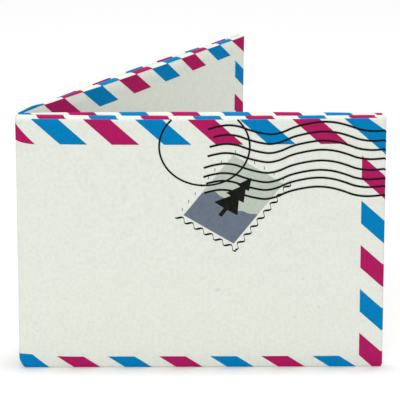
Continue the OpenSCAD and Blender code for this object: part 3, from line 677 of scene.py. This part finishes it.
# Postmark and stamp, as points of the front face: x from the spine and y below the crease
MARK_X, MARK_Y, MARK_RX, MARK_RY = 55.1, 8.3, 13.2, 12.0
RING_W, WAVE_W, TOOTH_W, TICK_W = 0.54, 0.62, 0.62, 0.16
WAVE_DROPS = (2.62, 5.6, 8.4, 11.2, 14.5, 17.4, 19.8, 22.6)
WAVE_STARTS = (56.1, 57.7, 56.6, 56.0, 54.9, 54.8, 55.6, 55.0)
# Points that a wavy line swings through, before its slant
WAVE_X = (53.5, 57.5, 60.8, 64, 67.5, 70.5, 74, 76.8, 80.3, 84, 89.5, 93.5, 96.7, 99.5, 102.8, 108.5, 113)
WAVE_Y = (0.9, -0.4, -0.95, -0.6, 0.65, 1.5, 1.95, 1.36, -0.14, -1.12, -1.75, -1.25, -0.28, 0.75, 1.3,
          1, 0.6)
WAVE_MIDDLE = (len(WAVE_DROPS) - 1) / 2
WAVE_SLANT = 0.25
STAMP_X, STAMP_Y, STAMP_TURN, STAMP_SKEW = 63.6, 24.7, math.radians(31.3), math.radians(6.6)
PICTURE_W, PICTURE_H = 17.2, 23.6
EDGE_LEFT, EDGE_RIGHT, EDGE_TOP, EDGE_FOOT = -10.1, 10.0, -13.0, 13.15
TOOTH_H, SIDE_TOOTH, FOOT_TOOTH, TICK_L = 0.62, 3.11, 3.32, 0.9
TOOTH_MEAN, TOOTH_SWELL, TOOTH_POINTS = 0.6, 0.4, 12
SIDE_PHASE, FOOT_PHASE, FOOT_OVERRUN = -2.9, -2.76, 0.6
LEFT_TICK, LEFT_TICKS, TOP_TICK, TOP_TICKS = 10.5, 7, -8.9, 6
TICK_BEND = ((0, -0.5), (-0.12, -0.17), (-0.12, 0.17), (0, 0.5))
HILL_MID, HILL_SIZE, HILL_TURN, HILL_PHASE = 0.075, 0.05, 9.0, 0.6
RIPPLE_SHARE, RIPPLE_TURN = 0.4, 2.3
TREE = ((0.1, -8.4), (2, -4.6), (0.9, -4.5), (3, -0.7), (1.4, -0.6), (4, 3.6), (0.6, 3.7), (0.6, 6.4))


def on_front(x, y):
    return (PANEL_W - x, y)


def on_stamp(x, y):
    across = (math.cos(STAMP_TURN), math.sin(STAMP_TURN))
    down = (-math.sin(STAMP_TURN + STAMP_SKEW), math.cos(STAMP_TURN + STAMP_SKEW))
    return on_front(STAMP_X + x * across[0] + y * down[0], STAMP_Y + x * across[1] + y * down[1])


def band(left, right):
    return [[left[m], right[m], right[m + 1], left[m + 1]] for m in range(len(left) - 1)]


def inked_line(path, width):
    """A line of ink along a path, as a band of one width or of a width for each point."""
    path = np.array(path)
    along = np.gradient(path, axis=0)
    along /= np.linalg.norm(along, axis=1, keepdims=True)
    side = np.stack([-along[:, 1], along[:, 0]], 1) * np.broadcast_to(width, len(path))[:, None] / 2
    return band([tuple(p) for p in path + side], [tuple(p) for p in path - side])


def ring():
    start = math.asin((MARK_Y - 0.05) / MARK_RY)
    angles = np.linspace(-start, math.pi + start, 97)
    path = [on_front(MARK_X + MARK_RX * math.cos(a), MARK_Y + MARK_RY * math.sin(a)) for a in angles]
    return inked_line(path, RING_W)


def swing(x):
    """Height at x of a line that swings softly through the wave's points."""
    points_x, points_y = np.array(WAVE_X), np.array(WAVE_Y)
    slopes = np.gradient(points_y, points_x)
    k = np.clip(np.searchsorted(WAVE_X, x) - 1, 0, len(WAVE_X) - 2)
    x0, x1 = points_x[k], points_x[k + 1]
    y0, y1 = points_y[k], points_y[k + 1]
    f = (x - x0) / (x1 - x0)
    ease = f * f * (3 - 2 * f)
    bow = f * (1 - f) * ((1 - f) * slopes[k] - f * slopes[k + 1]) * (x1 - x0)
    return mix(y0, y1, ease) + bow


def wavy_lines():
    found = []
    for n, (start, drop) in enumerate(zip(WAVE_STARTS, WAVE_DROPS)):
        x = np.linspace(start, PANEL_W - FACE_END, 91)
        y = drop + swing(x - (WAVE_MIDDLE - n) * WAVE_SLANT)
        found += inked_line([on_front(*point) for point in zip(x, y)], WAVE_W)
    return found


def picture_point(x, y):
    return on_stamp(x * PICTURE_W, y * PICTURE_H)


def hill_picture():
    """Fields of sky and of hills, parted by the hills' soft outline."""
    x = np.linspace(-0.5, 0.5, 33)
    ripple = RIPPLE_SHARE * HILL_SIZE * np.sin(RIPPLE_TURN * HILL_TURN * x)
    y = HILL_MID + HILL_SIZE * np.sin(HILL_TURN * x + HILL_PHASE) + ripple
    outline = [picture_point(*point) for point in zip(x, y)]
    sky = band([picture_point(v, -0.5) for v in x], outline)
    hills = band(outline, [picture_point(v, 0.5) for v in x])
    return sky, hills


def toothed(a, b, step, start, dark):
    """A side of the stamp with its perforations, whose line is broadest at one phase of each tooth."""
    a, b = np.array(a), np.array(b)
    length = np.linalg.norm(b - a)
    along = (b - a) / length
    out = np.array([along[1], -along[0]])
    turns = start + np.linspace(0, 2 * math.pi * length / step, math.ceil(length / step * TOOTH_POINTS) + 1)
    path = []
    for turn in turns:
        place = a + along * step * (turn - start) / (2 * math.pi) - out * TOOTH_H * math.sin(turn)
        path.append(on_stamp(*place))
    widths = TOOTH_W * (TOOTH_MEAN + TOOTH_SWELL * np.cos(turns - dark))
    return inked_line(path, widths)


def tick(x, y):
    """A short faint upright stroke on the edge of the stamp."""
    s, u = on_stamp(x, y)
    return inked_line([(s + TICK_L * ds, u + TICK_L * du) for ds, du in TICK_BEND], TICK_W)


def stamp_edges():
    """Toothed shadows at the right side and the foot, and faint strokes at the other two."""
    corner = (EDGE_RIGHT, EDGE_FOOT)
    beyond = (EDGE_RIGHT + FOOT_OVERRUN, EDGE_FOOT)
    found = toothed((EDGE_RIGHT, EDGE_TOP), corner, SIDE_TOOTH, SIDE_PHASE, 0)
    found += toothed(beyond, (EDGE_LEFT, EDGE_FOOT), FOOT_TOOTH, FOOT_PHASE, math.pi)
    for n in range(LEFT_TICKS):
        found += tick(EDGE_LEFT, LEFT_TICK - n * SIDE_TOOTH)
    for n in range(TOP_TICKS):
        found += tick(TOP_TICK + n * FOOT_TOOTH, EDGE_TOP)
    return found


# Materials
def principled(name, base, roughness):
    material = bpy.data.materials.new(name)
    material.use_nodes = True
    shader = material.node_tree.nodes["Principled BSDF"]
    shader.inputs["Base Color"].default_value = (*base, 1)
    shader.inputs["Roughness"].default_value = roughness
    shader.inputs["Specular IOR Level"].default_value = 0.12
    return material, material.node_tree, shader


def add_noise(tree, scale, detail, roughness, stretch=(1, 1, 1)):
    coordinates = tree.nodes.new("ShaderNodeTexCoord")
    mapping = tree.nodes.new("ShaderNodeMapping")
    mapping.inputs["Scale"].default_value = stretch
    noise = tree.nodes.new("ShaderNodeTexNoise")
    noise.inputs["Scale"].default_value = scale
    noise.inputs["Detail"].default_value = detail
    noise.inputs["Roughness"].default_value = roughness
    tree.links.new(coordinates.outputs["Object"], mapping.inputs["Vector"])
    tree.links.new(mapping.outputs["Vector"], noise.inputs["Vector"])
    return noise.outputs["Fac"]


def add_ramp(tree, source, stops):
    ramp = tree.nodes.new("ShaderNodeValToRGB")
    while len(ramp.color_ramp.elements) < len(stops):
        ramp.color_ramp.elements.new(0.5)
    for element, (position, colour) in zip(ramp.color_ramp.elements, stops):
        element.position = position
        element.color = (*colour, 1)
    tree.links.new(source, ramp.inputs["Fac"])
    return ramp.outputs["Color"]


def add_bump(tree, shader, heights, strengths, distance):
    previous = None
    for height, strength in zip(heights, strengths):
        bump = tree.nodes.new("ShaderNodeBump")
        bump.inputs["Strength"].default_value = strength
        bump.inputs["Distance"].default_value = distance
        tree.links.new(height, bump.inputs["Height"])
        if previous is not None:
            tree.links.new(previous, bump.inputs["Normal"])
        previous = bump.outputs["Normal"]
    tree.links.new(previous, shader.inputs["Normal"])


def multiply(tree, a, b):
    node = tree.nodes.new("ShaderNodeMix")
    node.data_type = "RGBA"
    node.blend_type = "MULTIPLY"
    node.inputs["Factor"].default_value = 1
    tree.links.new(a, node.inputs["A"])
    tree.links.new(b, node.inputs["B"])
    return node.outputs["Result"]


# The paper's noises: scale, detail, roughness and stretch
CLOUD_NOISE = (160, 4, 0.6)
FIBRE_NOISE = (1000, 3, 0.65, (1, 1, 0.8))
GRAIN_NOISE = (2600, 2, 0.5)
SPECK_NOISE = (420, 1, 0.5)
CLOUD_SHARE, FIBRE_SHARE = 0.22, 1.9
PAPER_ROUGHNESS = 0.62
SPECK_TINT = (0.9, 0.905, 0.9)
BUMPS, BUMP_H = (0.10, 0.10, 0.08), 0.0002
WHITE = (1, 1, 1)


def paper_material(name, base, mottle, specks, gloss=0.12):
    """Spun-bonded paper: a cloudy mottle, fine fibres and a few specks."""
    material, tree, shader = principled(name, base, PAPER_ROUGHNESS)
    shader.inputs["Specular IOR Level"].default_value = gloss
    cloud = add_noise(tree, *CLOUD_NOISE)
    fibre = add_noise(tree, *FIBRE_NOISE)
    grain = add_noise(tree, *GRAIN_NOISE)
    dark = tuple(c * (1 - CLOUD_SHARE * mottle) for c in base)
    light = tuple(min(1, c * (1 + CLOUD_SHARE * mottle)) for c in base)
    tone = add_ramp(tree, cloud, [(0.3, dark), (0.7, light)])
    streak = add_ramp(tree, fibre, [(0.25, (1 - FIBRE_SHARE * mottle,) * 3), (0.6, WHITE)])
    colour = multiply(tree, tone, streak)
    if specks:
        spot = add_noise(tree, *SPECK_NOISE)
        spots = add_ramp(tree, spot, [(0.765, WHITE), (0.80, SPECK_TINT)])
        colour = multiply(tree, colour, spots)
    tree.links.new(colour, shader.inputs["Base Color"])
    add_bump(tree, shader, [cloud, fibre, grain], BUMPS, BUMP_H)
    return material


PAPER = (0.735, 0.763, 0.69)
BLUE = (0.001, 0.203, 0.477)
MAGENTA = (0.41, 0.012, 0.108)
PALE = (0.47, 0.53, 0.455)
SLATE = (0.139, 0.166, 0.213)
BLACK = (0.012, 0.012, 0.011)

# Height of the fields of ink above the paper; the tree and then the postmark lie higher
LAYER = 0.03
make_sheet(paper_material("spun_paper", PAPER, 0.047, True))
make_print("blue_print", border(0), LAYER, paper_material("blue_ink", BLUE, 0.08, False, 0.02),
           ["blue_stripes"])
make_print("magenta_print", border(1), LAYER, paper_material("magenta_ink", MAGENTA, 0.08, False, 0.02),
           ["magenta_stripes"])
sky, hills = hill_picture()
tree_shape = band([on_stamp(-w, y) for w, y in TREE], [on_stamp(w, y) for w, y in TREE])
make_print("sky_print", sky, LAYER, paper_material("pale_ink", PALE, 0.06, False), ["stamp_sky"])
make_print("hills_print", hills, LAYER, paper_material("slate_ink", SLATE, 0.08, False), ["stamp_hills"])
black_ink = paper_material("black_ink", BLACK, 0.2, False, 0.02)
make_print("tree_print", tree_shape, 2 * LAYER, black_ink, ["stamp_tree"])
make_print("edge_print", stamp_edges(), LAYER, black_ink, ["stamp_edge"])
make_print("mark_print", ring() + wavy_lines(), 3 * LAYER, black_ink, ["postmark"])


# Stage: a pale floor under a soft light
DOME_LIGHT = 0.74
FLOOR_HALF = 3.0
FLOOR_CORNERS = ((-1, -1), (1, -1), (1, 1), (-1, 1))


def make_floor():
    mesh = bpy.data.meshes.new("floor")
    corners = [(x * FLOOR_HALF, y * FLOOR_HALF, 0) for x, y in FLOOR_CORNERS]
    mesh.from_pydata(corners, [], [(0, 1, 2, 3)])
    floor = bpy.data.objects.new("floor", mesh)
    bpy.context.scene.collection.objects.link(floor)
    material, _, shader = principled("floor_white", (0.87, 0.87, 0.87), 0.9)
    shader.inputs["Specular IOR Level"].default_value = 0
    mesh.materials.append(material)


def make_world():
    """An even pale dome that lights the scene, seen as white by the camera and in gloss."""
    world = bpy.data.worlds.new("studio")
    bpy.context.scene.world = world
    world.use_nodes = True
    tree = world.node_tree
    dome = tree.nodes["Background"]
    dome.inputs["Color"].default_value = (1, 1, 1, 1)
    dome.inputs["Strength"].default_value = DOME_LIGHT
    backdrop = tree.nodes.new("ShaderNodeBackground")
    backdrop.inputs["Color"].default_value = (1, 1, 1, 1)
    backdrop.inputs["Strength"].default_value = 1
    rays = tree.nodes.new("ShaderNodeLightPath")
    seen = rays.outputs["Is Camera Ray"]
    for name in ("Is Glossy Ray", "Is Transmission Ray"):
        both = tree.nodes.new("ShaderNodeMath")
        both.operation = "MAXIMUM"
        tree.links.new(seen, both.inputs[0])
        tree.links.new(rays.outputs[name], both.inputs[1])
        seen = both.outputs["Value"]
    mixed = tree.nodes.new("ShaderNodeMixShader")
    tree.links.new(seen, mixed.inputs["Fac"])
    tree.links.new(dome.outputs["Background"], mixed.inputs[1])
    tree.links.new(backdrop.outputs["Background"], mixed.inputs[2])
    tree.links.new(mixed.outputs["Shader"], tree.nodes["World Output"].inputs["Surface"])


def aim(obj, point):
    direction = Vector(point) - obj.location
    obj.rotation_euler = direction.to_track_quat("-Z", "Y").to_euler()


def area_light(name, place, point, size, power):
    lamp = bpy.data.lights.new(name, "AREA")
    lamp.shape = "RECTANGLE"
    lamp.size, lamp.size_y = size
    lamp.energy = power
    obj = bpy.data.objects.new(name, lamp)
    bpy.context.scene.collection.objects.link(obj)
    obj.location = place
    aim(obj, point)


CAMERA_DISTANCE = 1.0
CAMERA_PITCH = math.radians(18.34)
CAMERA_YAW = math.radians(0.47)
CAMERA_LENS = 299.9
AIM_POINT = Vector(to_frame([54.05, 20, 45.93]))


def make_camera():
    camera = bpy.data.objects.new("camera", bpy.data.cameras.new("camera"))
    bpy.context.scene.collection.objects.link(camera)
    camera.data.sensor_width = 36
    camera.data.lens = CAMERA_LENS
    camera.data.clip_start = 0.05
    level = math.cos(CAMERA_PITCH)
    forward = Vector((math.sin(CAMERA_YAW) * level, math.cos(CAMERA_YAW) * level, -math.sin(CAMERA_PITCH)))
    camera.location = AIM_POINT - forward * CAMERA_DISTANCE
    aim(camera, AIM_POINT)
    bpy.context.scene.camera = camera


make_floor()
make_world()
area_light("top_light", (0.0, 0.0, 1.1), (0, 0, 0), (0.3, 0.14), 4.9)
area_light("front_light", (-0.3, -1.5, 0.9), (0, 0, 0.04), (0.8, 0.8), 6.7)
make_camera()

bpy.context.scene.view_settings.view_transform = "Standard"
